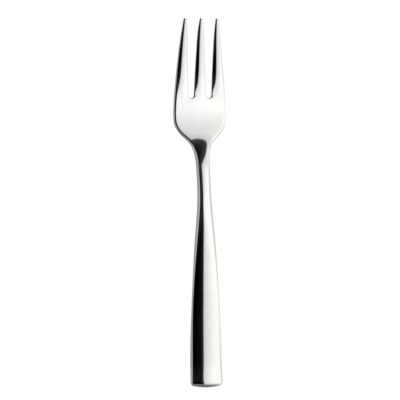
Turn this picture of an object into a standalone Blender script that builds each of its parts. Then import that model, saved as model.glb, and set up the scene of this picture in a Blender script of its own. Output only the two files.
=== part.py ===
"""Cocktail fork with three tines: one polished steel body, formed from a drawn-out strip.

Metres, +Z up. X runs across, +Y runs to the tine tips, and the fork rests on Z = 0.
A station is a distance along the fork, from the tine tips towards the handle end.
"""

import bmesh
import bpy
import numpy as np

# Plan view
LENGTH = 0.1500
TIP_SPAN = 0.0144
HEAD_WIDTH = 0.02185
NECK_WIDTH = 0.0055
HANDLE_WIDTH = 0.0130
HEAD_AT = 0.0385
SHOULDER_RUN = 0.0080
NECK_RUN = 0.0165
TINE_LENGTH = 0.0314
TIP_WIDTH = 0.0012
SLOT_WIDTH = 0.00246
SLOT_PITCH = 0.00726
END_BOW = 0.0009
END_CORNER = 0.0015

# Side view: how far the underside stands over the table, and how thick the steel is
TIP_RISE = 0.0111
CREST_RISE = 0.0066
BOWL_RUN = 0.0096
CREST_RUN = 0.0120
REST_LAND = 0.0098
SEAT = 0.00008
TIP_THICK = 0.0012
BOWL_THICK = 0.00235
HANDLE_THICK = 0.0036

# Upper edges: how deep the bevel reaches below the crowned face, its slope, and its rounding over its depth
SLOT_BEVEL = 0.00016
TIP_BEVEL = 0.00025
HEAD_BEVEL = 0.00075
SHOULDER_BEVEL = 0.00085
NECK_BEVEL = 0.00110
WAIST_AT = 0.1170
WAIST_BEVEL = 0.00045
REST_BEVEL = 0.00095
END_BEVEL = 0.00058
ROUND_SHARE = 0.55
SLOT_SIDE_SHARE = 0.25
BEVEL_SLOPE = 1.73

# Section: the crowns' heights over the half widths, and the lower edge as shares of the thickness
SLOT_CROWN_SHARE = 0.17
SIDE_CROWN_SHARE = 0.13
HANDLE_CROWN_SHARE = 0.16
BACK_REACH_SHARE = 0.30
BACK_DROP_SHARE = 0.25
SLOT_BACK_REACH_SHARE = 0.45
SLOT_BACK_DROP_SHARE = 0.60
BACK_POWER = 2.5
CORNER_POWER = 2.6

# Flow of the curves between the sizes: share of the way, share of the change
TINE_FLARE = ((0.104, 0.169), (0.333, 0.458), (0.667, 0.792))
TINE_TAPER = ((0.17, 0.37), (0.39, 0.57), (0.72, 0.80))
SHOULDER_FALL = ((0.163, 0.054), (0.327, 0.350), (0.441, 0.669), (0.596, 0.906), (0.784, 0.985))
HANDLE_FLARE = ((0.14, 0.037), (0.30, 0.333), (0.55, 0.692), (0.80, 0.942))
TIP_FALL = ((0.29, 0.450), (0.585, 0.780), (0.80, 0.935))
NECK_CLIMB = ((0.18, 0.105), (0.35, 0.415), (0.53, 0.745), (0.74, 0.935))
HANDLE_FALL = ((0.24, 0.19), (0.54, 0.53), (0.816, 0.85))
BEVEL_FALL = ((0.35, 0.02), (0.70, 0.70))

# Columns of the mesh over half the width, rows along the fork, how much they crowd to an edge,
# and the length of the crowded ends over the size of their rounding
MIDDLE_COLUMN_COUNT = 4
SLOT_COLUMN_COUNT = 4
OUTER_COLUMN_COUNT = 8
TIP_ROW_COUNT = 4
TINE_ROW_COUNT = 18
BOWL_ROW_COUNT = 11
NECK_ROW_COUNT = 13
HANDLE_ROW_COUNT = 9
LAND_ROW_COUNT = 2
END_ROW_COUNT = 5
CROWDING_POWER = 1.6
EDGE_CROWDING_SHARE = 0.6
END_ZONE_SHARE = 1.5
COLUMN_COUNT = MIDDLE_COLUMN_COUNT + SLOT_COLUMN_COUNT + OUTER_COLUMN_COUNT
HEAD_ROW_COUNT = TINE_ROW_COUNT + BOWL_ROW_COUNT + NECK_ROW_COUNT
ROW_COUNT = HEAD_ROW_COUNT + HANDLE_ROW_COUNT + LAND_ROW_COUNT + END_ROW_COUNT

# Sizes and places that follow. Rows and columns of the mesh meet half way round each rounding.
HALF_TIP = TIP_WIDTH / 2
HALF_SLOT = SLOT_WIDTH / 2
SLOT_AT = SLOT_PITCH / 2
HALF_WAY = np.sqrt(0.5)
TIP_ZONE_AT = END_ZONE_SHARE * TIP_WIDTH
ROOT_AT = TINE_LENGTH - HALF_SLOT
ROOT_ROW_AT = ROOT_AT + HALF_SLOT * HALF_WAY
CROWN_FADE_AT = ROOT_AT / 2
BOWL_AT = TINE_LENGTH + BOWL_RUN
SHOULDER_AT = HEAD_AT + SHOULDER_RUN
NECK_AT = SHOULDER_AT + NECK_RUN
CREST_AT = NECK_AT + CREST_RUN
REST_AT = LENGTH - REST_LAND
END_ZONE_AT = LENGTH - END_ZONE_SHARE * END_CORNER
END_BEND_AT = LENGTH - REST_LAND / 2
SLOPE_STEP = LENGTH / 2000

STEEL_COLOUR = (0.62, 0.61, 0.59, 1.0)
STEEL_ROUGHNESS = 0.08


def between(start, end, share):
    return start + share * (end - start)


def ramp(s, start, end):
    """0 before start, 1 after end, smooth between."""
    t = np.clip((s - start) / (end - start), 0, 1)
    return t * t * t * (10 + t * (6 * t - 15))


def flow(start, end, shares):
    """Stations and values from one place to the next, without the last one."""
    inner = [(between(start[0], end[0], a), between(start[1], end[1], b)) for a, b in shares]
    return [start] + inner


def spline(stations):
    """A natural cubic curve through the stations, as a function of the station."""
    at, value = np.array(stations).T
    step = np.diff(at)
    rate = np.diff(value) / step
    count = len(at)
    system = np.eye(count)
    turn = np.zeros(count)
    for i in range(1, count - 1):
        system[i, i - 1:i + 2] = step[i - 1], 2 * (step[i - 1] + step[i]), step[i]
        turn[i] = 6 * (rate[i] - rate[i - 1])
    bend = np.linalg.solve(system, turn)

    def curve(s):
        s = np.clip(s, at[0], at[-1])
        i = np.clip(np.searchsorted(at, s) - 1, 0, count - 2)
        t = s - at[i]
        slope = rate[i] - step[i] * (2 * bend[i] + bend[i + 1]) / 6
        return value[i] + t * (slope + t * (bend[i] / 2 + t * (bend[i + 1] - bend[i]) / (6 * step[i])))

    return curve


def half_width_curve():
    """Half the overall width: flaring tines, round shoulders, narrow neck, widening handle."""
    tip = (0, TIP_SPAN / 2)
    head = (HEAD_AT, HEAD_WIDTH / 2)
    neck = (NECK_AT, NECK_WIDTH / 2)
    end = (LENGTH, HANDLE_WIDTH / 2)
    return spline(flow(tip, head, TINE_FLARE) + flow(head, neck, SHOULDER_FALL)
                  + flow(neck, end, HANDLE_FLARE) + [end])


def underside_curve():
    """Height of the underside: raised tips, bowl on the table, arched neck, handle end on the table."""
    tip = (0, TIP_RISE)
    bowl = (BOWL_AT, -SEAT)
    crest = (CREST_AT, CREST_RISE)
    rest = (REST_AT, 0)
    end = (LENGTH, -SEAT)
    return spline(flow(tip, bowl, TIP_FALL) + flow(bowl, crest, NECK_CLIMB)
                  + flow(crest, rest, HANDLE_FALL) + [rest, end])


def bevel_curve():
    """Depth of the outer bevel: broad at the neck and near the handle end, narrow between them."""
    tip = (0, TIP_BEVEL)
    head = (HEAD_AT, HEAD_BEVEL)
    shoulder = (SHOULDER_AT, SHOULDER_BEVEL)
    neck = (CREST_AT, NECK_BEVEL)
    waist = (WAIST_AT, WAIST_BEVEL)
    rest = (REST_AT, REST_BEVEL)
    end = (LENGTH, END_BEVEL)
    return spline([tip, head, shoulder] + flow(neck, waist, BEVEL_FALL) + [waist, rest, end])


def taper_curve():
    """How far a tine's sides are tapered: fully at the tips, not at the slots' roots."""
    root = (ROOT_AT, 0)
    return spline(flow((0, 1), root, TINE_TAPER) + [root])


HALF_WIDTH = half_width_curve()
TAPER = taper_curve()
UNDERSIDE = underside_curve()
BEVEL = bevel_curve()


def thickness(s):
    """Thin at the tips, fuller in the bowl, fullest along the handle."""
    head = between(BOWL_THICK, TIP_THICK, np.clip(1 - s / BOWL_AT, 0, 1) ** 2)
    return between(head, HANDLE_THICK, ramp(s, BOWL_AT, CREST_AT))


def slot_sides(s):
    """Distances of a slot's two sides from the centre line, down to its round root."""
    taper = TAPER(s)
    half = HALF_SLOT * np.sqrt(1 - np.clip((s - ROOT_AT) / HALF_SLOT, 0, HALF_WAY) ** 2)
    near = between(SLOT_AT - half, HALF_TIP, taper)
    far = between(SLOT_AT + half, TIP_SPAN / 2 - TIP_WIDTH, taper)
    return near, far


def tine_at(x, s):
    """Centre and half width of the tine that a point lies on."""
    held = np.maximum(s, HALF_TIP)
    near, far = slot_sides(held)
    outline = HALF_WIDTH(held)
    middle = x <= (near + far) / 2
    return np.where(middle, 0, (outline + far) / 2), np.where(middle, near, (outline - far) / 2)


def crowded(start, end, count, power=CROWDING_POWER):
    """Stations after start up to end, close together near start."""
    return between(start, end, (np.arange(1, count + 1) / count) ** power)


def row_stations():
    """Rows lie close together at the tips, around the slot roots and at the handle end."""
    tip = crowded(0, TIP_ZONE_AT, TIP_ROW_COUNT)
    tine = crowded(ROOT_ROW_AT, TIP_ZONE_AT, TINE_ROW_COUNT - TIP_ROW_COUNT)[-2::-1]
    bowl = crowded(ROOT_ROW_AT, SHOULDER_AT, BOWL_ROW_COUNT)
    neck = crowded(SHOULDER_AT, CREST_AT, NECK_ROW_COUNT, 1)
    handle = crowded(CREST_AT, REST_AT, HANDLE_ROW_COUNT, 1)
    land = crowded(REST_AT, END_ZONE_AT, LAND_ROW_COUNT, 1)
    end = crowded(LENGTH, END_ZONE_AT, END_ROW_COUNT)[-2::-1]
    return np.concatenate([[0], tip, tine, [ROOT_ROW_AT], bowl, neck, handle, land, end, [LENGTH]])


def tine_place(column):
    """Place across a tine, from -1 to 1, or from 0 on the middle tine's centre line."""
    middle = np.sin(np.pi / 2 * column / MIDDLE_COLUMN_COUNT)
    outer = -np.cos(np.pi * (column - MIDDLE_COLUMN_COUNT - SLOT_COLUMN_COUNT) / OUTER_COLUMN_COUNT)
    return np.where(column <= MIDDLE_COLUMN_COUNT, middle, outer)


def slot_turn(column):
    """Angle around the lower half of a slot's round root."""
    return np.pi * (1 + 2 * np.clip((column - MIDDLE_COLUMN_COUNT) / SLOT_COLUMN_COUNT, 0, 1)) / 4


def handle_place(column):
    """Share of the half width that a column keeps along the handle."""
    even = column / COLUMN_COUNT
    return between(even, np.sin(np.pi / 2 * even), EDGE_CROWDING_SHARE)


def squeeze(u, v, power):
    """How far rounding a square's corner moves the point u, v along u, for sides at 1."""
    return u * (1 - (1 - abs(v) ** power / 2) ** (1 / power))


def tip_plan(column, s):
    """The round end of a tine: place across it and station of the grid points."""
    place = tine_place(column)
    ahead = np.clip(1 - s / HALF_TIP, 0, 1)
    return place - squeeze(place, ahead, 2), s + HALF_TIP * squeeze(ahead, place, 2)


def head_across(column, place, s):
    """Distance of a grid point from the centre line, tine by tine and around the slot roots."""
    near, far = slot_sides(np.maximum(s, HALF_TIP))
    outline = HALF_WIDTH(np.maximum(s, HALF_TIP))
    tine = np.where(column <= MIDDLE_COLUMN_COUNT, near * place, between(far, outline, (1 + place) / 2))
    in_slot = (column > MIDDLE_COLUMN_COUNT) & (column < MIDDLE_COLUMN_COUNT + SLOT_COLUMN_COUNT)
    return np.where(in_slot, SLOT_AT - HALF_SLOT * np.cos(slot_turn(column)), tine)


def end_plan(column, s):
    """The bowed, round-cornered handle end: distance from the centre line and station."""
    share = handle_place(column)
    half = HALF_WIDTH(s)
    u = np.clip(1 - half * (1 - share) / END_CORNER, 0, 1)
    v = np.clip(1 - (LENGTH - s) / END_CORNER, 0, 1)
    x = share * half - END_CORNER * squeeze(u, v, CORNER_POWER)
    bow = END_BOW * (x / half) ** 2 * ramp(s, END_BEND_AT, LENGTH)
    return x, s - END_CORNER * squeeze(v, u, CORNER_POWER) - bow


def plan(column, row):
    """Distance from the centre line and station of the grid points."""
    s = row_stations()[row]
    place, head_s = tip_plan(column, s)
    root = HALF_SLOT * (np.sin(slot_turn(column)) - HALF_WAY) * (row >= TINE_ROW_COUNT)
    handle, handle_s = end_plan(column, s)
    share = ramp(s, ROOT_ROW_AT, SHOULDER_AT)
    x = between(head_across(column, place, s), handle, share)
    return x, between(head_s + root, handle_s, share)


def slot_gap(x, s):
    """Distance to the nearest slot in plan."""
    near, far = slot_sides(s)
    root = np.hypot(x - SLOT_AT, s - ROOT_AT) - HALF_SLOT
    return np.where(s < ROOT_AT, np.maximum(near - x, x - far), root).clip(0)


def outer_gap(x, s):
    """Distance to the outer edge in plan, along the sides and the handle end."""
    slope = (HALF_WIDTH(s + SLOPE_STEP) - HALF_WIDTH(s - SLOPE_STEP)) / (2 * SLOPE_STEP)
    side = (HALF_WIDTH(s) - x) / np.sqrt(1 + slope ** 2)
    end = LENGTH - END_BOW * (x / HALF_WIDTH(s)) ** 2 - s
    return corner_gap(side, end).clip(0)


def edge_gap(x, s):
    """Distance to the nearest edge of the fork in plan, round the tine tips too."""
    centre, half = tine_at(x, s)
    tip = half * (1 - np.hypot((x - centre) / half, 1 - s / HALF_TIP))
    return np.where(s < HALF_TIP, tip, np.minimum(slot_gap(x, s), outer_gap(x, s))).clip(0)


def corner_gap(side, end):
    """Distance to the side or the end, with the round corner between them."""
    to_side = np.clip(1 - side / END_CORNER, 0, None) ** CORNER_POWER
    to_end = np.clip(1 - end / END_CORNER, 0, None) ** CORNER_POWER
    corner = END_CORNER * (1 - (to_side + to_end) ** (1 / CORNER_POWER))
    return np.where(to_side + to_end > 0, corner, np.minimum(side, end))


def outward(x, s):
    """0 beside a slot, 1 beside the outer edge, smooth between."""
    slot = slot_gap(x, s)
    return ramp(slot / (slot + outer_gap(x, s)), SLOT_SIDE_SHARE, 1 - SLOT_SIDE_SHARE)


def tine_crown(x, s):
    """How far a tine's face falls at its edges and at a point; it fades out in the bowl."""
    held = np.clip(s, HALF_TIP, ROOT_AT)
    near, far = slot_sides(held)
    half = between(near, (HALF_WIDTH(held) - far) / 2, ramp(x, near, far))
    to_slot = np.clip(1 - slot_gap(x, s) / half, 0, 1)
    to_side = np.clip(1 - outer_gap(x, s) / half, 0, 1)
    crown_share = between(SLOT_CROWN_SHARE, SIDE_CROWN_SHARE, outward(x, s))
    fall = crown_share * half * (1 - ramp(s, CROWN_FADE_AT, HEAD_AT))
    return fall, fall * (to_slot ** 2 + to_side ** 2)


def handle_crown(x, s):
    """How far the face of the neck and handle falls at its edges and at a point."""
    fall = HANDLE_CROWN_SHARE * HALF_WIDTH(s) * ramp(s, BOWL_AT, NECK_AT)
    return fall, fall * (x / HALF_WIDTH(s)) ** 2


def heights(x, s):
    """Heights of the upper surface, crowned and bevelled at its edges, and of the lower one."""
    tine_edge, tine_fall = tine_crown(x, s)
    handle_edge, handle_fall = handle_crown(x, s)
    crown = tine_edge + handle_edge
    gap = edge_gap(x, s)
    side = outward(x, s)
    depth = between(SLOT_BEVEL, BEVEL(s), side)
    thick = thickness(s)
    base = UNDERSIDE(s)
    face = base + thick - tine_fall - handle_fall
    bevel = base + thick - crown - depth + BEVEL_SLOPE * gap
    top = (face + bevel - np.hypot(face - bevel, ROUND_SHARE * depth)) / 2
    return top, base.clip(0) + back_rise(gap, thick, crown, side)


def back_rise(gap, thick, crown, side):
    """How far the lower edge, rounded most beside the slots, stands over the flat underside."""
    reach = thick * between(SLOT_BACK_REACH_SHARE, BACK_REACH_SHARE, side)
    drop = (thick - crown) * between(SLOT_BACK_DROP_SHARE, BACK_DROP_SHARE, side)
    inward = np.clip(1 - gap / reach, 0, 1)
    return drop * (1 - (1 - inward ** BACK_POWER) ** (1 / BACK_POWER))


def sheet():
    """A flat grid with the two slots taken out; layers keep each point's column and row."""
    bm = bmesh.new()
    bmesh.ops.create_grid(bm, x_segments=2 * COLUMN_COUNT, y_segments=ROW_COUNT, size=1)
    column = bm.verts.layers.int.new("column")
    row = bm.verts.layers.int.new("row")
    for v in bm.verts:
        v[column] = round(v.co.x * COLUMN_COUNT)
        v[row] = round((1 - v.co.y) / 2 * ROW_COUNT)
    slots = []
    for f in bm.faces:
        aside = abs(f.calc_center_median().x) * COLUMN_COUNT
        in_slot = MIDDLE_COLUMN_COUNT < aside < MIDDLE_COLUMN_COUNT + SLOT_COLUMN_COUNT
        if in_slot and max(v[row] for v in f.verts) <= TINE_ROW_COUNT:
            slots.append(f)
    bmesh.ops.delete(bm, geom=slots, context="FACES")
    return bm, column, row


def fork_body():
    """The sheet shaped into the upper surface, then extruded down to the lower one."""
    bm, column_layer, row_layer = sheet()
    back_layer = bm.verts.layers.float.new("back")
    verts = list(bm.verts)
    signed = np.array([v[column_layer] for v in verts])
    row = np.array([v[row_layer] for v in verts])
    x, s = plan(abs(signed), row)
    top, back = heights(x, s)
    for i, v in enumerate(verts):
        v.co = (np.sign(signed[i]) * x[i], LENGTH / 2 - s[i], top[i])
        v[back_layer] = back[i]
    for v in bmesh.ops.extrude_face_region(bm, geom=list(bm.faces))["geom"]:
        if isinstance(v, bmesh.types.BMVert):
            v.co.z = v[back_layer]
    bmesh.ops.triangulate(bm, faces=bm.faces, quad_method="SHORT_EDGE")
    bmesh.ops.recalc_face_normals(bm, faces=bm.faces)
    return bm


def steel():
    material = bpy.data.materials.new("polished_steel")
    material.use_nodes = True
    shader = material.node_tree.nodes["Principled BSDF"]
    shader.inputs["Base Color"].default_value = STEEL_COLOUR
    shader.inputs["Metallic"].default_value = 1
    shader.inputs["Roughness"].default_value = STEEL_ROUGHNESS
    return material


def main():
    for old in list(bpy.data.objects):
        bpy.data.objects.remove(old)
    bm = fork_body()
    for f in bm.faces:
        f.smooth = True
    mesh = bpy.data.meshes.new("fork")
    bm.to_mesh(mesh)
    bm.free()
    mesh.materials.append(steel())
    bpy.context.scene.collection.objects.link(bpy.data.objects.new("fork", mesh))


main()
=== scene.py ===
# %% [markdown]
# A cocktail fork in polished steel
#
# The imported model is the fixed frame: one node, `fork`, on one body, `root`. The real fork is one
# piece of stainless steel, so the scene has one piece too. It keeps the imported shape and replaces
# its facets by a mesh that is fine enough for a mirror polish, where every facet would show.

import bmesh
import bpy
import numpy as np
from mathutils import Matrix, Vector


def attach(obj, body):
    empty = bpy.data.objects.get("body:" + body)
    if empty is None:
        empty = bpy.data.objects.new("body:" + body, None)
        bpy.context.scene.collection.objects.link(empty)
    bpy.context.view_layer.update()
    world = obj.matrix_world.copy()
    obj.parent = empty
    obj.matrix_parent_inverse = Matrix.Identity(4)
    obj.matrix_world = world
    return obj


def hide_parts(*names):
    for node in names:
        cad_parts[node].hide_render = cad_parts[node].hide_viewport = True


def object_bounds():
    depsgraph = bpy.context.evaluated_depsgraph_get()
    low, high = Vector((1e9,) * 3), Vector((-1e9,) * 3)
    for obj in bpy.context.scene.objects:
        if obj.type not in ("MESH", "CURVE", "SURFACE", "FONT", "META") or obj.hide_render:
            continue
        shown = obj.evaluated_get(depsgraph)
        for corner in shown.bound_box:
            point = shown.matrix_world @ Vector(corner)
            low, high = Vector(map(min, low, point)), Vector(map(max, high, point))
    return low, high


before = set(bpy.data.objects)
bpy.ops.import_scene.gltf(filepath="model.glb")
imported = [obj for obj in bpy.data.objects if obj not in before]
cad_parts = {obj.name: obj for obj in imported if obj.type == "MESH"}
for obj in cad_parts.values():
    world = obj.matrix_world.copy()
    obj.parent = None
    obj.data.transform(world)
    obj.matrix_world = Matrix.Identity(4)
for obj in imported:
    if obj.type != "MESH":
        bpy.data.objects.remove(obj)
cad_low, cad_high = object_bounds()

print("packed nodes:", sorted(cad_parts), "box:", cad_low[:], cad_high[:])

# %% [markdown]
# Sizes
#
# A fork is drawn from a few sizes: widths and places in plan, and heights and thicknesses in side
# view. A place is a station, the distance along the fork from the tine tips. The sizes could be
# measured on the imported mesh, but named sizes say what each one is for.

# %% Sizes in plan
LENGTH = 0.1500
TIP_SPAN = 0.0144
HEAD_WIDTH = 0.02185
NECK_WIDTH = 0.0055
HANDLE_WIDTH = 0.0130
HEAD_AT = 0.0385
SHOULDER_RUN, NECK_RUN = 0.0080, 0.0165
SHOULDER_AT = HEAD_AT + SHOULDER_RUN
NECK_AT = SHOULDER_AT + NECK_RUN
TINE_LENGTH = 0.0314
HALF_TIP = 0.0006
HALF_SLOT = 0.00123
SLOT_AT = 0.00363
ROOT_AT = TINE_LENGTH - HALF_SLOT
END_BOW = 0.0009
END_CORNER = 0.0015
print(f"{LENGTH * 1000:.0f} mm long, {HEAD_WIDTH * 1000:.1f} mm over the head")

# %% Sizes in side view
TIP_RISE, CREST_RISE = 0.0111, 0.0066
BOWL_RUN, CREST_RUN, REST_LAND = 0.0096, 0.0120, 0.0098
BOWL_AT = TINE_LENGTH + BOWL_RUN
CREST_AT = NECK_AT + CREST_RUN
REST_AT = LENGTH - REST_LAND
SEAT = 0.00008
TIP_THICK, BOWL_THICK, HANDLE_THICK = 0.0012, 0.00235, 0.0036
print(f"handle {HANDLE_THICK * 1000:.1f} mm thick, tips {TIP_THICK * 1000:.1f} mm thick")

# %% [markdown]
# Curves
#
# The outline, the side view and the bevel are smooth curves through a few stations. A Bezier
# curve object could draw them, but the mesh needs their value at any station, so a natural cubic
# curve is solved once and then read like a function. `flow` places points between two sizes by
# their share of the way and of the change, so the curve follows when a size changes. In the code
# `s` is a station and `x` is a distance from the centre line.


# %% Curve helpers
def between(start, end, share):
    """The value at a share of the way from start to end."""
    return start + share * (end - start)


def ramp(s, start, end):
    """0 before start, 1 after end, smooth between."""
    t = np.clip((s - start) / (end - start), 0, 1)
    return t * t * t * (10 + t * (6 * t - 15))


def flow(start, end, shares):
    """Stations and values from one place to the next, without the last one."""
    inner = [(between(start[0], end[0], a), between(start[1], end[1], b)) for a, b in shares]
    return [start] + inner


print("half way up a ramp:", ramp(0.5, 0, 1))


# %% Natural cubic curve
def spline(stations):
    """A natural cubic curve through the stations, as a function of the station."""
    at, value = np.array(stations).T
    step = np.diff(at)
    rate = np.diff(value) / step
    count = len(at)
    system = np.eye(count)
    turn = np.zeros(count)
    for i in range(1, count - 1):
        system[i, i - 1:i + 2] = step[i - 1], 2 * (step[i - 1] + step[i]), step[i]
        turn[i] = 6 * (rate[i] - rate[i - 1])
    bend = np.linalg.solve(system, turn)

    def curve(s):
        s = np.clip(s, at[0], at[-1])
        i = np.clip(np.searchsorted(at, s) - 1, 0, count - 2)
        t = s - at[i]
        slope = rate[i] - step[i] * (2 * bend[i] + bend[i + 1]) / 6
        return value[i] + t * (slope + t * (bend[i] / 2 + t * (bend[i + 1] - bend[i]) / (6 * step[i])))

    return curve


print("a curve through 0, 1 and 0 is, half way up:", spline([(0, 0), (1, 1), (2, 0)])(0.5))

# %% [markdown]
# Outline and side view
#
# In plan the tines flare into the head, its shoulders fall to a narrow neck, and the handle widens
# to its end. From the side the tips are raised, the bowl and the handle end rest on the table, and
# the neck arches between them. The steel is thinnest at the tips. All this could be traced point
# by point from the photograph, but a few sizes with a flow between them stay smooth.

# %% Outline
TINE_FLARE = ((0.104, 0.169), (0.333, 0.458), (0.667, 0.792))
SHOULDER_FALL = ((0.163, 0.054), (0.327, 0.350), (0.441, 0.669), (0.596, 0.906), (0.784, 0.985))
HANDLE_FLARE = ((0.14, 0.037), (0.30, 0.333), (0.55, 0.692), (0.80, 0.942))
tip, head = (0, TIP_SPAN / 2), (HEAD_AT, HEAD_WIDTH / 2)
neck, end = (NECK_AT, NECK_WIDTH / 2), (LENGTH, HANDLE_WIDTH / 2)
half_width = spline(flow(tip, head, TINE_FLARE) + flow(head, neck, SHOULDER_FALL)
                    + flow(neck, end, HANDLE_FLARE) + [end])
for name, s in (("tips", 0), ("head", HEAD_AT), ("neck", NECK_AT), ("end", LENGTH)):
    print(f"{name}: {half_width(s) * 2000:.1f} mm wide")

# %% Underside and thickness
TIP_FALL = ((0.29, 0.450), (0.585, 0.780), (0.80, 0.935))
NECK_CLIMB = ((0.18, 0.105), (0.35, 0.415), (0.53, 0.745), (0.74, 0.935))
HANDLE_FALL = ((0.24, 0.19), (0.54, 0.53), (0.816, 0.85))
tip, bowl, crest = (0, TIP_RISE), (BOWL_AT, -SEAT), (CREST_AT, CREST_RISE)
rest, end = (REST_AT, 0), (LENGTH, -SEAT)
underside = spline(flow(tip, bowl, TIP_FALL) + flow(bowl, crest, NECK_CLIMB)
                   + flow(crest, rest, HANDLE_FALL) + [rest, end])


def thickness(s):
    """Thin at the tips, fuller in the bowl, fullest along the handle."""
    blade = between(BOWL_THICK, TIP_THICK, np.clip(1 - s / BOWL_AT, 0, 1) ** 2)
    return between(blade, HANDLE_THICK, ramp(s, BOWL_AT, CREST_AT))


for name, s in (("tips", 0), ("bowl", BOWL_AT), ("crest", CREST_AT), ("rest", REST_AT)):
    print(f"{name}: underside {max(0, underside(s)) * 1000:.1f} mm up, {thickness(s) * 1000:.2f} mm thick")

# %% [markdown]
# Tines and slots
#
# Two slots with round roots are punched into the blank, and the tines are then drawn to slender
# points. Booleans could cut them, but they leave ragged shading on a mirror finish. Here the grid
# itself follows each slot: its columns hug the slot's sides and run round its root.

# %% Tine and slot outlines
# Sine of 45 degrees, the angle at which the grid's columns start to run round a slot's root.
HALF_WAY = np.sqrt(0.5)
ROOT_ROW_AT = ROOT_AT + HALF_SLOT * HALF_WAY
TINE_TAPER = ((0.17, 0.37), (0.39, 0.57), (0.72, 0.80))
tip, root = (0, 1), (ROOT_AT, 0)
tine_taper = spline(flow(tip, root, TINE_TAPER) + [root])


def slot_sides(s):
    """Distances of a slot's two sides from the centre line, down to its round root."""
    taper = tine_taper(s)
    half = HALF_SLOT * np.sqrt(1 - np.clip((s - ROOT_AT) / HALF_SLOT, 0, HALF_WAY) ** 2)
    near = between(SLOT_AT - half, HALF_TIP, taper)
    far = between(SLOT_AT + half, TIP_SPAN / 2 - 2 * HALF_TIP, taper)
    return near, far


def tine_at(x, s):
    """Centre and half width of the tine that a point lies on."""
    held = np.maximum(s, HALF_TIP)
    near, far = slot_sides(held)
    outline = half_width(held)
    middle = x <= (near + far) / 2
    return np.where(middle, 0, (outline + far) / 2), np.where(middle, near, (outline - far) / 2)


for s in (0.005, 0.015, 0.025):
    near, far = slot_sides(s)
    print(f"{s * 1000:.0f} mm from the tips the gap is {(far - near) * 1000:.2f} mm wide")

# %% [markdown]
# The grid
#
# One grid covers the whole upper side. Its rows lie close together where the form turns quickly:
# at the tips, round the slot roots and at the handle end. Its columns crowd to the edges, where
# the bevel is. A remesh would spread the faces evenly and blur the crisp bevel line.

# %% Rows and columns
MIDDLE_COLUMNS, SLOT_COLUMNS, OUTER_COLUMNS = 10, 10, 20
TIP_ROWS, TINE_ROWS, BOWL_ROWS, NECK_ROWS = 10, 100, 60, 70
HANDLE_ROWS, LAND_ROWS, END_ROWS = 90, 16, 24
FAR_COLUMN = MIDDLE_COLUMNS + SLOT_COLUMNS
COLUMNS = FAR_COLUMN + OUTER_COLUMNS
ROWS = TINE_ROWS + BOWL_ROWS + NECK_ROWS + HANDLE_ROWS + LAND_ROWS + END_ROWS
END_ZONE_SHARE = 1.5
TIP_ZONE_AT = END_ZONE_SHARE * 2 * HALF_TIP
END_ZONE_AT = LENGTH - END_ZONE_SHARE * END_CORNER
CROWDING = 1.6


def crowded(start, end, count, power=CROWDING):
    """Stations after start up to end, close together near start."""
    return between(start, end, (np.arange(1, count + 1) / count) ** power)


tips = crowded(0, TIP_ZONE_AT, TIP_ROWS)
tines = crowded(ROOT_ROW_AT, TIP_ZONE_AT, TINE_ROWS - TIP_ROWS)[-2::-1]
bowl = crowded(ROOT_ROW_AT, SHOULDER_AT, BOWL_ROWS)
neck = crowded(SHOULDER_AT, CREST_AT, NECK_ROWS, power=1)
handle = crowded(CREST_AT, REST_AT, HANDLE_ROWS, power=1)
land = crowded(REST_AT, END_ZONE_AT, LAND_ROWS, power=1)
end = crowded(LENGTH, END_ZONE_AT, END_ROWS)[-2::-1]
ROW_STATIONS = np.concatenate([[0], tips, tines, [ROOT_ROW_AT], bowl, neck, handle, land, end, [LENGTH]])
print(f"{2 * COLUMNS} columns and {ROWS} rows")

# %% Places across the grid
EDGE_CROWDING = 0.8


def tine_place(column):
    """Place across a tine, from -1 to 1, or from 0 on the middle tine's centre line."""
    middle = np.sin(np.pi / 2 * column / MIDDLE_COLUMNS)
    outer = -np.cos(np.pi * (column - FAR_COLUMN) / OUTER_COLUMNS)
    return np.where(column <= MIDDLE_COLUMNS, middle, outer)


def slot_turn(column):
    """Angle around the end of a slot's round root, from 45 to 135 degrees."""
    return np.pi * (1 + 2 * np.clip((column - MIDDLE_COLUMNS) / SLOT_COLUMNS, 0, 1)) / 4


def handle_place(column):
    """Share of the half width that a column keeps along the handle."""
    even = column / COLUMNS
    return between(even, np.sin(np.pi / 2 * even), EDGE_CROWDING)


print("columns on the handle end at", np.round(handle_place(np.arange(COLUMNS - 3, COLUMNS + 1)), 4))

# %% [markdown]
# The plan
#
# Each grid point gets its place in plan: across a tine near the tips, round a slot root further
# back, and as a share of the width along the neck and handle. Square corners of the grid are
# squeezed into the round tine tips and the softly rounded corners of the handle end. Bevelled
# corners would need faces of their own; squeezing keeps the grid's rows and columns whole.

# %% Head and handle end in plan
TIP_POWER, CORNER_POWER = 2, 2.6
END_BEND_AT = (REST_AT + LENGTH) / 2


def squeeze(u, v, power):
    """How far rounding a square's corner moves the point u, v along u, for sides at 1."""
    return u * (1 - (1 - abs(v) ** power / 2) ** (1 / power))


def head_across(column, place, s):
    """Distance of a grid point from the centre line, tine by tine and around the slot roots."""
    held = np.maximum(s, HALF_TIP)
    near, far = slot_sides(held)
    outer = between(far, half_width(held), (1 + place) / 2)
    tine = np.where(column <= MIDDLE_COLUMNS, near * place, outer)
    in_slot = (column > MIDDLE_COLUMNS) & (column < FAR_COLUMN)
    return np.where(in_slot, SLOT_AT - HALF_SLOT * np.cos(slot_turn(column)), tine)


def end_plan(column, s):
    """The bowed, round-cornered handle end: distance from the centre line and station."""
    share, half = handle_place(column), half_width(s)
    u = np.clip(1 - half * (1 - share) / END_CORNER, 0, 1)
    v = np.clip(1 - (LENGTH - s) / END_CORNER, 0, 1)
    x = share * half - END_CORNER * squeeze(u, v, CORNER_POWER)
    bow = END_BOW * (x / half) ** 2 * ramp(s, END_BEND_AT, LENGTH)
    return x, s - END_CORNER * squeeze(v, u, CORNER_POWER) - bow


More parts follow.
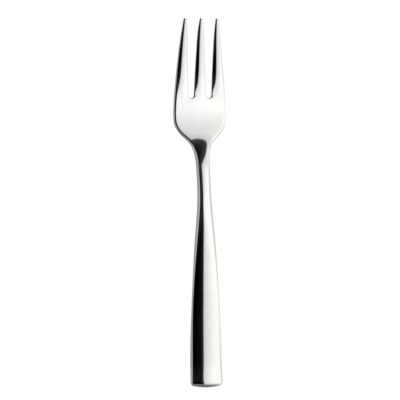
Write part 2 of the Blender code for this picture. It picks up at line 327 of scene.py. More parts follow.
corner_x, corner_s = end_plan(COLUMNS, LENGTH)
print(f"handle corner {corner_x * 1000:.2f} mm out, {(LENGTH - corner_s) * 1000:.2f} mm short of the end")


# %% Plan of the whole grid
def plan(column, row):
    """Distance from the centre line and station of the grid points."""
    s = ROW_STATIONS[row]
    place, ahead = tine_place(column), np.clip(1 - s / HALF_TIP, 0, 1)
    head_s = s + HALF_TIP * squeeze(ahead, place, TIP_POWER)
    head_s = head_s + HALF_SLOT * (np.sin(slot_turn(column)) - HALF_WAY) * (row >= TINE_ROWS)
    head_x = head_across(column, place - squeeze(place, ahead, TIP_POWER), s)
    handle_x, handle_s = end_plan(column, s)
    share = ramp(s, ROOT_ROW_AT, SHOULDER_AT)
    return between(head_x, handle_x, share), between(head_s, handle_s, share)


shoulder_x, shoulder_s = plan(np.array([COLUMNS]), np.array([TINE_ROWS + BOWL_ROWS]))
print(f"shoulder {shoulder_x[0] * 1000:.2f} mm out, {shoulder_s[0] * 1000:.2f} mm from the tips")

# %% [markdown]
# The section
#
# Across the handle and the tines the face is gently crowned, which is what draws the long black
# and white bands of a studio reflection. A bevel of about 60 degrees runs round the upper edge and
# ends on an upright rim. A Bevel modifier could cut it, but it would need a weight on every edge,
# because the bevel's width changes along the fork. So every point gets its height from its distance
# to the edge instead, and a smooth minimum blends face and bevel, which rounds the line between
# them as polishing does.

# %% Distance to the edge
SLOPE_STEP = LENGTH / 2000


def corner_gap(side, end):
    """Distance to the side or the end, with the round corner between them."""
    to_side = np.clip(1 - side / END_CORNER, 0, None) ** CORNER_POWER
    to_end = np.clip(1 - end / END_CORNER, 0, None) ** CORNER_POWER
    corner = END_CORNER * (1 - (to_side + to_end) ** (1 / CORNER_POWER))
    return np.where(to_side + to_end > 0, corner, np.minimum(side, end))


def slot_gap(x, s):
    """Distance to the nearest slot in plan."""
    near, far = slot_sides(s)
    root = np.hypot(x - SLOT_AT, s - ROOT_AT) - HALF_SLOT
    return np.where(s < ROOT_AT, np.maximum(near - x, x - far), root).clip(0)


def outer_gap(x, s):
    """Distance to the outer edge in plan, along the sides and the handle end."""
    slope = (half_width(s + SLOPE_STEP) - half_width(s - SLOPE_STEP)) / (2 * SLOPE_STEP)
    side = (half_width(s) - x) / np.sqrt(1 + slope ** 2)
    end = LENGTH - END_BOW * (x / half_width(s)) ** 2 - s
    return corner_gap(side, end).clip(0)


def edge_gap(x, s):
    """Distance to the nearest edge of the fork in plan, round the tine tips too."""
    centre, half = tine_at(x, s)
    round_tip = half * (1 - np.hypot((x - centre) / half, 1 - s / HALF_TIP))
    return np.where(s < HALF_TIP, round_tip, np.minimum(slot_gap(x, s), outer_gap(x, s))).clip(0)


print(f"from the neck's centre line to its edge: {edge_gap(0.0, NECK_AT) * 1000:.2f} mm")

# %% Crowns
SLOT_CROWN_SHARE, SIDE_CROWN_SHARE, HANDLE_CROWN_SHARE = 0.17, 0.13, 0.16
CROWN_FADE_AT = ROOT_AT / 2
SLOT_SIDE_SHARE = 0.25


def outward(x, s):
    """0 beside a slot, 1 beside the outer edge, smooth between."""
    slot = slot_gap(x, s)
    return ramp(slot / (slot + outer_gap(x, s)), SLOT_SIDE_SHARE, 1 - SLOT_SIDE_SHARE)


def tine_crown(x, s):
    """How far a tine's face falls at its edges and at a point; it fades out in the bowl."""
    held = np.clip(s, HALF_TIP, ROOT_AT)
    near, far = slot_sides(held)
    half = between(near, (half_width(held) - far) / 2, ramp(x, near, far))
    to_slot = np.clip(1 - slot_gap(x, s) / half, 0, 1)
    to_side = np.clip(1 - outer_gap(x, s) / half, 0, 1)
    crown_share = between(SLOT_CROWN_SHARE, SIDE_CROWN_SHARE, outward(x, s))
    fall = crown_share * half * (1 - ramp(s, CROWN_FADE_AT, HEAD_AT))
    return fall, fall * (to_slot ** 2 + to_side ** 2)


def handle_crown(x, s):
    """How far the face of the neck and handle falls at its edges and at a point."""
    fall = HANDLE_CROWN_SHARE * half_width(s) * ramp(s, BOWL_AT, NECK_AT)
    return fall, fall * (x / half_width(s)) ** 2


print(f"the handle's face falls {handle_crown(0.0, REST_AT)[0] * 1000:.2f} mm to its edges")

# %% Bevel
SLOT_BEVEL, ROOT_BEVEL = 0.00016, 0.00040
TIP_BEVEL, HEAD_BEVEL, SHOULDER_BEVEL, NECK_BEVEL = 0.00025, 0.00075, 0.00085, 0.00110
WAIST_BEVEL, REST_BEVEL, END_BEVEL = 0.00045, 0.00095, 0.00058
WAIST_AT = 0.1170
BEVEL_FALL = ((0.35, 0.02), (0.70, 0.70))
tip, head, shoulder = (0, TIP_BEVEL), (HEAD_AT, HEAD_BEVEL), (SHOULDER_AT, SHOULDER_BEVEL)
neck, waist = (CREST_AT, NECK_BEVEL), (WAIST_AT, WAIST_BEVEL)
rest, end = (REST_AT, REST_BEVEL), (LENGTH, END_BEVEL)
outer_bevel = spline([tip, head, shoulder] + flow(neck, waist, BEVEL_FALL) + [waist, rest, end])


def bevel_depth(s, side):
    """Fine beside the slots, deeper where polishing wears their roots, broad on the outer edge."""
    slot_bevel = between(SLOT_BEVEL, ROOT_BEVEL, ramp(s, ROOT_AT, ROOT_ROW_AT))
    return between(slot_bevel, outer_bevel(s), side)


for name, s in (("head", HEAD_AT), ("neck", CREST_AT), ("waist", WAIST_AT), ("end", LENGTH)):
    print(f"{name}: bevel {bevel_depth(s, 1) * 1000:.2f} mm deep")

# %% Heights
BEVEL_SLOPE = 1.73
ROUND_SHARE = 0.55
BACK_REACH_SHARE, SLOT_BACK_REACH_SHARE = 0.30, 0.45
BACK_DROP_SHARE, SLOT_BACK_DROP_SHARE = 0.25, 0.60
BACK_POWER = 2.5


def back_rise(gap, thick, crown, side):
    """How far the lower edge, rounded most beside the slots, stands over the flat underside."""
    reach = thick * between(SLOT_BACK_REACH_SHARE, BACK_REACH_SHARE, side)
    drop = (thick - crown) * between(SLOT_BACK_DROP_SHARE, BACK_DROP_SHARE, side)
    inward = np.clip(1 - gap / reach, 0, 1)
    return drop * (1 - (1 - inward ** BACK_POWER) ** (1 / BACK_POWER))


def heights(x, s, gap):
    """Heights of the upper surface, crowned and bevelled at its edges, and of the lower one."""
    tine_edge, tine_fall = tine_crown(x, s)
    handle_edge, handle_fall = handle_crown(x, s)
    crown = tine_edge + handle_edge
    thick, base = thickness(s), underside(s)
    side = outward(x, s)
    depth = bevel_depth(s, side)
    face = base + thick - tine_fall - handle_fall
    bevel = base + thick - crown - depth + BEVEL_SLOPE * gap
    top = (face + bevel - np.hypot(face - bevel, ROUND_SHARE * depth)) / 2
    return top, base.clip(0) + back_rise(gap, thick, crown, side)


across = np.array([0, 0.5, 0.9, 1.0]) * half_width(WAIST_AT)
along = np.full_like(across, WAIST_AT)
top, back = heights(across, along, edge_gap(across, along))
print("section at the waist, top:", np.round(top * 1000, 2), "back:", np.round(back * 1000, 2))

# %% [markdown]
# The fork
#
# The flat grid is made first, the faces inside the slots are deleted, and every point moves to its
# place. Extruding the whole sheet then makes the lower side and the edge wall in one step, and the
# copy drops to the height that each point carries in a layer. A Solidify modifier could do this,
# but its lower side would follow the crowned face, and the fork's is flat where it rests. Two more
# layers stay on the mesh for the finish: how near a point is to an edge, and how near to the wall of
# a slot, where a polishing wheel does not reach and where the colour gets a painted shade.


# %% Sheet with two slots
def sheet():
    """A flat grid with the two slots taken out; layers keep each point's column and row."""
    bm = bmesh.new()
    bmesh.ops.create_grid(bm, x_segments=2 * COLUMNS, y_segments=ROWS, size=1)
    column, row = bm.verts.layers.int.new("column"), bm.verts.layers.int.new("row")
    for v in bm.verts:
        v[column] = round(v.co.x * COLUMNS)
        v[row] = round((1 - v.co.y) / 2 * ROWS)
    slots = []
    for f in bm.faces:
        aside = abs(f.calc_center_median().x) * COLUMNS
        if MIDDLE_COLUMNS < aside < FAR_COLUMN and max(v[row] for v in f.verts) <= TINE_ROWS:
            slots.append(f)
    bmesh.ops.delete(bm, geom=slots, context="FACES")
    return bm, column, row


bm, column_layer, row_layer = sheet()
print(f"sheet of {len(bm.faces)} faces, with two slots")

# %% Shape the sheet and give it its thickness
EDGE_REACH, SLOT_REACH = 0.0005, 0.00006
signed = np.array([v[column_layer] for v in bm.verts])
x, s = plan(abs(signed), np.array([v[row_layer] for v in bm.verts]))
x = np.minimum(x, cad_high[0])
gap = edge_gap(x, s)
top, back = heights(x, s, gap)
carried = {"back": back, "edge": np.exp(-gap / EDGE_REACH), "slot": np.exp(-slot_gap(x, s) / SLOT_REACH)}
layers = {name: bm.verts.layers.float.new(name) for name in carried}
for i, v in enumerate(bm.verts):
    v.co = (np.sign(signed[i]) * x[i], LENGTH / 2 - s[i], top[i])
    for name, values in carried.items():
        v[layers[name]] = values[i]
for v in bmesh.ops.extrude_face_region(bm, geom=list(bm.faces))["geom"]:
    if isinstance(v, bmesh.types.BMVert):
        v.co.z = v[layers["back"]]
bmesh.ops.recalc_face_normals(bm, faces=bm.faces)
print(f"{len(bm.verts)} vertices, {len(bm.faces)} faces, {bm.calc_volume() * 1e9:.0f} mm3 of steel")

# %% Make the fork's object
for f in bm.faces:
    f.smooth = True
for layer in (column_layer, row_layer):
    bm.verts.layers.int.remove(layer)
fork_mesh = bpy.data.meshes.new("polished_fork")
bm.to_mesh(fork_mesh)
bm.free()
fork_mesh.attributes.remove(fork_mesh.attributes["back"])
fork = bpy.data.objects.new("polished_fork", fork_mesh)
bpy.context.scene.collection.objects.link(fork)
print("layers kept for the finish:", [a.name for a in fork_mesh.attributes if a.name in carried])

# %% [markdown]
# Polished steel
#
# Table steel is bright but not perfect. Under the mirror there are fine lines that the polishing
# wheel leaves along the fork, a few hairline scratches from use, a soft haze that changes from
# place to place, and scuffs where the fork rests on a table. An image could hold all this, but
# noise on Object coordinates stays sharp from any distance. Stretching the noise along the fork
# turns its blobs into lines.


# %% Node helpers
def add(tree, kind, values=(), **settings):
    """A node with its settings, whose inputs are set or linked."""
    node = tree.nodes.new(kind)
    for name, value in settings.items():
        setattr(node, name, value)
    for socket, value in dict(values).items():
        if isinstance(value, bpy.types.NodeSocket):
            tree.links.new(value, node.inputs[socket])
        else:
            node.inputs[socket].default_value = value
    return node


def math(tree, operation, a, b=0.0, c=0.0):
    """A Math node's result."""
    return add(tree, "ShaderNodeMath", {0: a, 1: b, 2: c}, operation=operation).outputs[0]


def product(tree, first, *others):
    """Masks multiplied with each other."""
    for other in others:
        first = math(tree, "MULTIPLY", first, other)
    return first


def fade(tree, value, start, end, low=0.0, high=1.0):
    """A smooth step from low to high while the value goes from start to end."""
    values = {"Value": value, "From Min": start, "From Max": end, "To Min": low, "To Max": high}
    return add(tree, "ShaderNodeMapRange", values, interpolation_type="SMOOTHSTEP").outputs["Result"]


def mix(tree, share, first, second):
    """A colour between two colours."""
    return add(tree, "ShaderNodeMix", {0: share, 6: first, 7: second}, data_type="RGBA").outputs[2]


print("node helpers: add, math, product, fade, mix")


# %% Noise helpers
def noise(tree, place, scale, detail):
    """Cloudy noise between 0 and 1."""
    values = {"Vector": place, "Scale": scale, "Detail": detail}
    return add(tree, "ShaderNodeTexNoise", values).outputs["Fac"]


def streaks(tree, place, turn, across, along, detail=2.0):
    """Noise drawn out into lines along the fork, turned about the vertical."""
    values = {"Vector": place, "Rotation": (0, 0, turn), "Scale": (across, along, across)}
    return noise(tree, add(tree, "ShaderNodeMapping", values).outputs[0], 1.0, detail)


print("noise helpers: noise, streaks")

# %% The steel's patterns
# Streaks have a turn in radians, and a scale across and along the fork.
POLISH = (0.0, 4200.0, 70.0)
STEEP_HAIRLINES, STEEP_FADE = (0.5, 2600.0, 55.0), (0.68, 0.74)
FLAT_HAIRLINES, FLAT_FADE = (-0.9, 2100.0, 60.0), (0.69, 0.75)
# Noise has a scale and a detail.
HAZE, WAVES, GRIT = (70.0, 3.0), (160.0, 0.0), (1800.0, 4.0)
GRIT_FADE = (0.42, 0.62)
SCUFF_HEIGHT = 0.0007
steel = bpy.data.materials.new("polished_steel")
steel.use_nodes = True
tree = steel.node_tree
place = add(tree, "ShaderNodeTexCoord").outputs["Object"]
edge = add(tree, "ShaderNodeAttribute", attribute_name="edge").outputs["Fac"]
slot = add(tree, "ShaderNodeAttribute", attribute_name="slot").outputs["Fac"]
polish_lines = streaks(tree, place, *POLISH)
steep = fade(tree, streaks(tree, place, *STEEP_HAIRLINES), *STEEP_FADE)
flat = fade(tree, streaks(tree, place, *FLAT_HAIRLINES), *FLAT_FADE)
hairlines = math(tree, "MAXIMUM", steep, flat)
haze = noise(tree, place, *HAZE)
waves = noise(tree, place, *WAVES)
height = add(tree, "ShaderNodeSeparateXYZ", {"Vector": place}).outputs["Z"]
grit = fade(tree, noise(tree, place, *GRIT), *GRIT_FADE)
scuffs = product(tree, fade(tree, height, SCUFF_HEIGHT, 0.0), grit)
print("patterns: polish lines, hairlines, haze, waves, scuffs, edge, slot")

# %% [markdown]
# From patterns to finish
#
# The patterns drive three things. Roughness stays low and rises with haze, scratches, scuffs and
# in the slots, and falls at the buffed edges. The colour is the faintly warm grey of steel, a
# little deeper at scuffs and scratches; by the slot walls it is darkened too, and that darkening
# is painted shade. A very small bump of lines and slow waves bends reflections by a fraction of a
# degree, so straight reflections look rolled and polished, not computed. One plain roughness would
# be simpler, but it looks like plastic chrome.

# %% Roughness and colour
BASE_ROUGHNESS = 0.035
ROUGHENING = ((haze, 0.035), (polish_lines, 0.02), (hairlines, 0.03),
              (scuffs, 0.16), (slot, 0.14), (edge, -0.02))
# How far each mark darkens the colour: at scuffs and hairlines this is wear, by the slot walls it is
# painted shade.
SLOT_SHADE, SCUFF_WEAR, HAIRLINE_WEAR = 0.5, 0.35, 0.18
DEEP_STEEL, PALE_STEEL = (0.600, 0.597, 0.588, 1), (0.640, 0.636, 0.625, 1)
# Darker steel, for wear and for the painted shade by the slots.
WORN_AND_SHADED_STEEL = (0.46, 0.452, 0.438, 1)
HAZE_FADE = (0.35, 0.65)
shader = tree.nodes["Principled BSDF"]
shader.inputs["Metallic"].default_value = 1.0
rough = BASE_ROUGHNESS
for pattern, rise in ROUGHENING:
    rough = math(tree, "MULTIPLY_ADD", pattern, rise, rough)
tree.links.new(rough, shader.inputs["Roughness"])
# Painted shade by the slot walls, together with the wear of scuffs and hairlines.
wear_and_slot_shade = math(tree, "MULTIPLY", slot, SLOT_SHADE)
for pattern, share in ((scuffs, SCUFF_WEAR), (hairlines, HAIRLINE_WEAR)):
    wear_and_slot_shade = math(tree, "MAXIMUM", wear_and_slot_shade, math(tree, "MULTIPLY", pattern, share))
tint = mix(tree, fade(tree, haze, *HAZE_FADE), DEEP_STEEL, PALE_STEEL)
tint = mix(tree, wear_and_slot_shade, tint, WORN_AND_SHADED_STEEL)
tree.links.new(tint, shader.inputs["Base Color"])
print("roughness from", BASE_ROUGHNESS, "up, by", len(ROUGHENING), "patterns")

# %% Bump
LINE_DEPTH, HAIRLINE_DEPTH, WAVE_DEPTH = 2.5e-7, 3e-7, 6e-6
relief = {}
for pattern, depth, sunk in ((polish_lines, LINE_DEPTH, False), (hairlines, HAIRLINE_DEPTH, True),
                             (waves, WAVE_DEPTH, False)):
    values = {"Height": pattern, "Strength": 1.0, "Distance": depth} | relief
    relief = {"Normal": add(tree, "ShaderNodeBump", values, invert=sunk).outputs[0]}
tree.links.new(relief["Normal"], shader.inputs["Normal"])
fork_mesh.materials.append(steel)
print("steel:", len(tree.nodes), "nodes")

# %% [markdown]
# Floor
#
# The photograph shows the fork cut out on white. The floor is a plain sheet that looks white to
# the camera. It is left out of reflections, so the steel mirrors the studio alone. A lit, matt
# floor could look as white, but would also get a shadow that the photograph doesn't have. From
# below the sheet is clear, so that the underside can be seen.


# %% Sheet helpers
def stage_sheet(name, sides, ends, height, slants=(0.0, 0.0)):
    """A flat sheet from side to side and end to end; its ends may run slantwise."""
    bm = bmesh.new()
    bmesh.ops.create_grid(bm, x_segments=1, y_segments=1, size=1)
    for v in bm.verts:
        right, far = int(v.co.x > 0), int(v.co.y > 0)
        v.co = (sides[right], ends[far] + slants[far] * sides[right], height)
    mesh = bpy.data.meshes.new(name)
    bm.to_mesh(mesh)
    bm.free()
    sheet_object = bpy.data.objects.new(name, mesh)
    bpy.context.scene.collection.objects.link(sheet_object)
    return sheet_object


def empty_material(name):
    """A material for nodes, with nothing in it yet."""
    material = bpy.data.materials.new(name)
    material.use_nodes = True
    material.node_tree.nodes.clear()
    return material


def surface(tree, share, first, second, output="ShaderNodeOutputMaterial"):
    """Two shaders, mixed by a share, as what the material or the world shows."""
    mixed = add(tree, "ShaderNodeMixShader", {0: share, 1: first.outputs[0], 2: second.outputs[0]})
    add(tree, output, {"Surface": mixed.outputs[0]})


print("sheet helpers: stage_sheet, empty_material, surface")

# %% White floor
WHITE = (1, 1, 1, 1)
FLOOR_REACH = 4.0
floor = stage_sheet("floor", (-FLOOR_REACH, FLOOR_REACH), (-FLOOR_REACH, FLOOR_REACH), 0.0)
floor.visible_glossy = False
paper = empty_material("white_paper")
tree = paper.node_tree
white = add(tree, "ShaderNodeEmission", {"Color": WHITE, "Strength": 1.0})
clear = add(tree, "ShaderNodeBsdfTransparent")
from_below = add(tree, "ShaderNodeNewGeometry").outputs["Backfacing"]
surface(tree, from_below, white, clear)
floor.data.materials.append(paper)
print(f"floor {2 * FLOOR_REACH:.0f} m wide")

# %% [markdown]
# Softbox
#
# A mirror shows its room, so the room is laid out with care. A big softbox hangs less than half a
# metre over the fork. A black flag covers its left part, up to about the zenith, and its far edge
# runs slantwise beyond the tines. An area light could be the softbox, but its light would be even,
# and a real softbox has a bright middle. A sheet that glows by its own coordinates gives that, and
# because it is near, the head and the handle mirror different parts of it. Its sizes are given in
# heights of the box over the table.

# %% Softbox sheet
BOX_HEIGHT = 0.450
BOX_LEFT, BOX_RIGHT, BOX_FRONT = -1.60, 1.45, -2.50
EDGE_OFFSET, EDGE_SLOPE, EDGE_BLUR = 0.99, 0.88, 0.05
box_sides = (BOX_LEFT * BOX_HEIGHT, BOX_RIGHT * BOX_HEIGHT)
box_ends = (BOX_FRONT * BOX_HEIGHT, (EDGE_OFFSET + 2 * EDGE_BLUR) * BOX_HEIGHT)
softbox = stage_sheet("softbox", box_sides, box_ends, BOX_HEIGHT, slants=(0.0, EDGE_SLOPE))
softbox.visible_camera = False
box_width = box_sides[1] - box_sides[0]
print(f"softbox {box_width * 1000:.0f} mm wide, {BOX_HEIGHT * 1000:.0f} mm over the table")

# %% [markdown]
# The softbox's glow
#
# The glow is a product of two gradients: one across, brighter away from the flag, and one along,
# with a bright band over the fork's middle, where the lamp sits behind the cloth. Colour ramps draw
# them. An image could too, but a few stops are easier to read and to change. On the flag there is
# only a little stray light, most of it far in front, and a halo along the flag's edge. The outer
# edges fade to a clear sheet, as cloth over a frame gets dimmer there.


# %% Light helpers
def grey(light):
    """A neutral colour."""
    return (light, light, light, 1)


def shades(tree, value, stops):
    """Brightness along a value, through stops of place and brightness."""
    low, high = stops[0][0], stops[-1][0]
    values = {"Value": value, "From Min": low, "From Max": high}
    share = add(tree, "ShaderNodeMapRange", values).outputs["Result"]
    node = add(tree, "ShaderNodeValToRGB", {"Fac": share})
    elements = node.color_ramp.elements
    elements.remove(elements[1])
    elements[0].color = grey(stops[0][1])
    for at, light in stops[1:]:
        elements.new((at - low) / (high - low)).color = grey(light)
    return node.outputs["Color"]


def tinted(tree, tint, light):
    """A tint, as bright as the light."""
    return add(tree, "ShaderNodeVectorMath", {0: tint, "Scale": light}, operation="SCALE").outputs[0]


print("light helpers: grey, shades, tinted")

# %% Bright cloth
GLOW_ACROSS = ((-0.1, 0.58), (0.05, 0.64), (0.35, 0.85), (0.55, 0.94), (0.75, 0.98), (1.05, 0.94),
               (1.5, 0.86))
GLOW_ALONG = ((-2.5, 0.65), (-1.25, 0.52), (-0.6, 0.89), (-0.35, 0.91), (-0.15, 1.02), (0.0, 1.36),
              (0.06, 1.34), (0.25, 1.17), (0.5, 1.05), (0.75, 0.98), (1.05, 0.76), (1.4, 0.70), (2.5, 0.70))
FULL_GLOW = 1.0
COOL_GLOW, WARM_GLOW = (0.970, 1.0, 1.025, 1), (1.0, 0.998, 0.972, 1)
WARM_FADE = (-0.05, 0.35)
cloth = empty_material("softbox_cloth")
tree = cloth.node_tree
spot = tinted(tree, add(tree, "ShaderNodeTexCoord").outputs["Object"], 1 / BOX_HEIGHT)
split = add(tree, "ShaderNodeSeparateXYZ", {"Vector": spot}).outputs
across, along = split["X"], split["Y"]
glow = product(tree, shades(tree, across, GLOW_ACROSS), shades(tree, along, GLOW_ALONG))
tint = mix(tree, fade(tree, across, *WARM_FADE), COOL_GLOW, WARM_GLOW)
bright_cloth = tinted(tree, tint, math(tree, "MINIMUM", glow, FULL_GLOW))
print("softbox glow:", len(GLOW_ACROSS), "stops across,", len(GLOW_ALONG), "along")

# %% Black flag
FLAG_ALONG = ((-2.5, 0.20), (-1.3, 0.21), (-0.95, 0.02), (-0.45, 0.010), (-0.30, 0.002), (-0.20, 0.0),
              (-0.12, 0.002), (-0.03, 0.015), (0.1, 0.013), (0.3, 0.020), (0.5, 0.030), (0.65, 0.024),
              (0.8, 0.01))
HALO = ((-0.35, 0.0), (-0.13, 0.003), (0.0, 0.016))
DARK_TINT = (0.89, 1.0, 1.12)
FLAG_TURN, FLAG_EDGES = (0.12, -0.20), (-0.075, 0.025)
FLAG_BLUR = 0.035
from_flag = math(tree, "SUBTRACT", across, fade(tree, along, *FLAG_TURN, *FLAG_EDGES))
stray = math(tree, "ADD", shades(tree, along, FLAG_ALONG), shades(tree, from_flag, HALO))
flag = tinted(tree, DARK_TINT, stray)
glow = mix(tree, fade(tree, from_flag, -FLAG_BLUR, FLAG_BLUR), flag, bright_cloth)
print("flag:", len(FLAG_ALONG), "stops along, edge at", FLAG_EDGES)

# %% Softbox material
EXPOSURE = 1.63
FRONT_BLUR, RIGHT_BLUR = 0.5, 0.25
slanted_edge = math(tree, "MULTIPLY_ADD", across, EDGE_SLOPE, EDGE_OFFSET)
from_slant = math(tree, "SUBTRACT", slanted_edge, along)
shown = product(tree, fade(tree, along, BOX_FRONT, BOX_FRONT + FRONT_BLUR),
                fade(tree, from_slant, -EDGE_BLUR, EDGE_BLUR),
                fade(tree, across, BOX_RIGHT, BOX_RIGHT - RIGHT_BLUR))
light = add(tree, "ShaderNodeEmission", {"Color": glow, "Strength": EXPOSURE})
clear = add(tree, "ShaderNodeBsdfTransparent")
surface(tree, shown, clear, light)
softbox.data.materials.append(cloth)
print("softbox:", len(tree.nodes), "nodes")

# %% [markdown]
# Bright patch of the table
#
# On the photograph the right edge of the head melts into the white, because its bevel mirrors the
# table close beside it, where the light is brightest. The floor is left out of reflections, so a
# small glowing sheet stands for that patch. A brighter wall could not do it: the neck's edge looks
# the same way and stays grey. The sheet lies a little under the table, where only edges see it,
# and runs slantwise, as the lines of sight from the head do.

# %% Bright patch
PATCH_DEPTH, PATCH_SLANT, PATCH_BLUR = 0.012, 0.20, 0.005
PATCH_LEFT, PATCH_RIGHT, PATCH_NEAR, PATCH_FAR = 0.015, 0.200, 0.0225, 0.0460
patch = stage_sheet("bright_patch", (PATCH_LEFT, PATCH_RIGHT), (PATCH_NEAR, PATCH_FAR), -PATCH_DEPTH,
                    slants=(PATCH_SLANT, PATCH_SLANT))
patch.visible_camera = False
bright = empty_material("bright_paper")
tree = bright.node_tree
spot = add(tree, "ShaderNodeTexCoord").outputs["Object"]
split = add(tree, "ShaderNodeSeparateXYZ", {"Vector": spot}).outputs
along = math(tree, "MULTIPLY_ADD", split["X"], -PATCH_SLANT, split["Y"])
shown = product(tree, fade(tree, along, PATCH_NEAR, PATCH_NEAR + PATCH_BLUR),
                fade(tree, along, PATCH_FAR, PATCH_FAR - PATCH_BLUR))
light = add(tree, "ShaderNodeEmission", {"Color": WHITE, "Strength": EXPOSURE})
clear = add(tree, "ShaderNodeBsdfTransparent")
surface(tree, shown, clear, light)
patch.data.materials.append(bright)
print(f"bright patch {(PATCH_FAR - PATCH_NEAR) * 1000:.0f} mm long beside the head")

# %% [markdown]
# The room
#
# The steel also mirrors what is round the softbox and below it. Walls and cards could be modelled
# as more sheets, but they are far enough away for every part of the fork to see them in the same
# direction. So the world draws them by direction: to the right, to the tines, and up.

# %% Directions in the room
world = bpy.data.worlds.new("studio")
bpy.context.scene.world = world
world.use_nodes = True
sky = world.node_tree
sky.nodes.clear()
direction = add(sky, "ShaderNodeTexCoord").outputs["Generated"]
split = add(sky, "ShaderNodeSeparateXYZ", {"Vector": direction}).outputs
to_right, to_tines, up = split["X"], split["Y"], split["Z"]


def side_of(right, tines, upward):
    """How far a direction lies on one side of a plane through the fork."""
    values = {0: direction, 1: Vector((right, tines, upward)).normalized()}
    return add(sky, "ShaderNodeVectorMath", values, operation="DOT_PRODUCT").outputs["Value"]


print("directions: right, tines, up")

# %% [markdown]
# The dark upper room
#
# Past the softbox's slanted edge the room is nearly black, with a trace of blue. The dark tongue at
# the neck mirrors it. A faint glow lies along that edge, where light strays over the frame, and it
# makes the tongue a little paler towards its border. A plain black would be simpler, but would look
# cut out. On the right there is a white wall.

# %% Dark room and white wall
DARK_ALONG = ((-0.7, 0.013), (-0.45, 0.012), (-0.22, 0.0015), (-0.13, 0.002), (-0.05, 0.012), (0.2, 0.012),
              (0.5, 0.003))
RIM = ((-0.30, 0.0), (-0.22, 0.002), (-0.13, 0.014), (-0.055, 0.032), (0.0, 0.058))
RIM_FAR, RIM_RIGHT = (0.45, 0.65), (-0.45, -0.10)
WALL_TILT, WALL_FADE, SLANT_BLUR = (1.0, 0.0, -1.0), (-0.12, 0.05), 0.04
WHITE_WALL = (0.88, 0.88, 0.875, 1)
slant = side_of(EDGE_SLOPE, -1.0, EDGE_OFFSET)
rim = product(sky, shades(sky, slant, RIM), fade(sky, to_tines, *RIM_FAR), fade(sky, to_right, *RIM_RIGHT))
dark = tinted(sky, DARK_TINT, math(sky, "ADD", shades(sky, to_tines, DARK_ALONG), rim))
right_wall = product(sky, fade(sky, side_of(*WALL_TILT), *WALL_FADE),
                     fade(sky, slant, -SLANT_BLUR, SLANT_BLUR))
upper = mix(sky, right_wall, dark, WHITE_WALL)
print("dark room:", len(DARK_ALONG), "stops, rim:", len(RIM), "stops")

# %% [markdown]
# Lights in the dark room
#
# From the right and from the handle end the fork's face mirrors the dark left and far parts of the
# room. A dim panel on the left and a strip light at the far end give it some shape there. Brighter
# ones would be easy to add, but the photograph's dark line on the neck and its tongue mirror nearly
# the same directions, so the lights keep clear of those.

# %% Panel and strip light
PANEL_ALONG = ((-0.6, 0.24), (-0.32, 0.22), (-0.18, 0.03), (0.0, 0.01), (0.48, 0.01), (0.60, 0.10),
               (0.72, 0.32))
PANEL_LEFT, PANEL_TILT, PANEL_FADE = (-0.34, -0.56), (-0.32, -0.56, 0.77), (0.20, 0.34)
STRIP_LOW, STRIP_HIGH, STRIP_RIGHT, STRIP_FAR = (0.24, 0.30), (0.46, 0.38), (0.25, -0.05), (0.42, 0.60)
DIM_STRIP, BRIGHT_STRIP = (0.26, 0.26, 0.257, 1), (0.50, 0.50, 0.495, 1)
STRIP_FADE = (-0.55, -0.20)
panel = product(sky, fade(sky, to_right, *PANEL_LEFT), fade(sky, side_of(*PANEL_TILT), *PANEL_FADE))
upper = mix(sky, panel, upper, shades(sky, to_tines, PANEL_ALONG))
strip = product(sky, fade(sky, up, *STRIP_LOW), fade(sky, up, *STRIP_HIGH),
                fade(sky, to_right, *STRIP_RIGHT), fade(sky, to_tines, *STRIP_FAR))
strip_light = mix(sky, fade(sky, to_right, *STRIP_FADE), DIM_STRIP, BRIGHT_STRIP)
upper = mix(sky, strip, upper, strip_light)
print("panel:", len(PANEL_ALONG), "stops, strip light from", STRIP_LOW[0], "to", STRIP_HIGH[0], "up")

# %% [markdown]
# The low room
#
# The bevels and the underside look down and outwards, to low walls and the table. These are pale
# on the right, where the light falls, and a warm grey on the left, which draws the grey strip along
# the left edge. In front, where the handle end looks, they are darker, and beyond the tines dark on
# the left and white on the right. One grey would do for the underside, but each edge of the
# photograph has its own shade.

# %% Low walls
HANDLE_LEFT, HANDLE_RIGHT = (0.310, 0.301, 0.284, 1), (0.70, 0.698, 0.69, 1)
NECK_LEFT_LOW, NECK_LEFT_HIGH = (0.300, 0.291, 0.275, 1), (0.510, 0.494, 0.472, 1)
NECK_RIGHT = (0.60, 0.598, 0.592, 1)
TINES_LEFT, TINES_RIGHT = (0.05, 0.051, 0.053, 1), (0.85, 0.848, 0.84, 1)
FRONT_LOW, FRONT_HIGH = (0.135, 0.128, 0.122, 1), (0.21, 0.20, 0.19, 1)
SIDE_FADE, TINES_SIDE_FADE = (-0.25, 0.45), (-0.42, -0.08)
NECK_RISE, FRONT_RISE = (-0.28, -0.12), (-0.30, -0.05)
NECK_FROM, TINES_FROM = (0.02, 0.14), (0.45, 0.80)
FRONT_TURN, FRONT_FROM = (0.35, 1.0, 0.0), (-0.52, -0.85)
by_handle = mix(sky, fade(sky, to_right, *SIDE_FADE), HANDLE_LEFT, HANDLE_RIGHT)
left_of_neck = mix(sky, fade(sky, up, *NECK_RISE), NECK_LEFT_LOW, NECK_LEFT_HIGH)
by_neck = mix(sky, fade(sky, to_right, *SIDE_FADE), left_of_neck, NECK_RIGHT)
by_tines = mix(sky, fade(sky, to_right, *TINES_SIDE_FADE), TINES_LEFT, TINES_RIGHT)
front = mix(sky, fade(sky, up, *FRONT_RISE), FRONT_LOW, FRONT_HIGH)
low = mix(sky, fade(sky, to_tines, *NECK_FROM), by_handle, by_neck)
low = mix(sky, fade(sky, to_tines, *TINES_FROM), low, by_tines)
low = mix(sky, fade(sky, side_of(*FRONT_TURN), *FRONT_FROM), low, front)
print("low walls: by the handle, the neck, the tines and in front")

# %% [markdown]
# The room as a whole
#
# The low walls end at a height that changes round the room: high in front, low beyond the tines.
# Above them is the dark upper room. The steel sees this room and the camera sees plain white, as
# if the fork were cut out. A white room for both would be simpler, but steel in a white room is
# white all over.

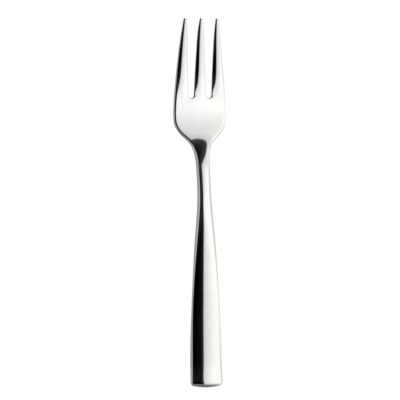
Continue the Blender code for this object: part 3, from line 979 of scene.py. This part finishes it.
# %% World
WALL_TOP, FRONT_WALL_TOP, FAR_WALL_DROP = 0.19, 0.52, 0.14
FRONT_WALL_FROM, FAR_WALL_FROM = (-0.15, -0.40), (0.10, 0.40)
WALL_BLUR = 0.05
wall_top = fade(sky, to_tines, *FRONT_WALL_FROM, WALL_TOP, FRONT_WALL_TOP)
wall_top = math(sky, "SUBTRACT", wall_top, fade(sky, to_tines, *FAR_WALL_FROM, 0.0, FAR_WALL_DROP))
over_wall = math(sky, "SUBTRACT", up, wall_top)
room = mix(sky, fade(sky, over_wall, -WALL_BLUR, WALL_BLUR), low, upper)
room_light = add(sky, "ShaderNodeBackground", {"Color": room, "Strength": EXPOSURE})
backdrop = add(sky, "ShaderNodeBackground", {"Color": WHITE, "Strength": 1.0})
seen = add(sky, "ShaderNodeLightPath").outputs["Is Camera Ray"]
surface(sky, seen, room_light, backdrop, output="ShaderNodeOutputWorld")
bpy.context.scene.view_settings.view_transform = "Standard"
print("room:", len(sky.nodes), "nodes")

# %% [markdown]
# Camera
#
# The photograph looks almost straight down, from a little to the left of the fork and a little
# towards its handle end, through a long lens. The tines point up in the picture. A Track To
# constraint could aim the camera, but the picture is also rolled a little, so the camera's own
# axes are worked out and set.

# %% Camera
FROM_LEFT, FROM_HANDLE, ROLL = np.radians(8.936), np.radians(8.0), np.radians(-1.485)
DISTANCE, PIXEL, PIXELS, SENSOR = 0.9, 0.00040696, 400, 36
# How many pixels the fork's middle, at the aim's height, lies right of and below the picture's middle.
AIM_RIGHT, AIM_DOWN, AIM_HEIGHT = 3.39, 2.283, 0.005
back_to_camera = Vector((-np.tan(FROM_LEFT), -np.tan(FROM_HANDLE), 1)).normalized()
upright = (Vector((0, 1, 0)) - back_to_camera * back_to_camera.y).normalized()
rightward = upright.cross(back_to_camera)
right_axis = rightward * np.cos(ROLL) + upright * np.sin(ROLL)
up_axis = upright * np.cos(ROLL) - rightward * np.sin(ROLL)
aim = Vector((0, 0, AIM_HEIGHT)) - right_axis * (AIM_RIGHT * PIXEL) + up_axis * (AIM_DOWN * PIXEL)
lens = bpy.data.cameras.new("camera")
lens.sensor_width = SENSOR
lens.lens = SENSOR * DISTANCE / (PIXEL * PIXELS)
camera = bpy.data.objects.new("camera", lens)
bpy.context.scene.collection.objects.link(camera)
axes = Matrix((right_axis, up_axis, back_to_camera)).transposed().to_4x4()
camera.matrix_world = Matrix.Translation(aim + back_to_camera * DISTANCE) @ axes
bpy.context.scene.camera = camera
print(f"camera {DISTANCE * 1000:.0f} mm away, {lens.lens:.0f} mm lens")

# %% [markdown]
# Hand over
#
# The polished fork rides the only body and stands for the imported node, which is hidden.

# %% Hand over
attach(fork, "root")
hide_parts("fork")
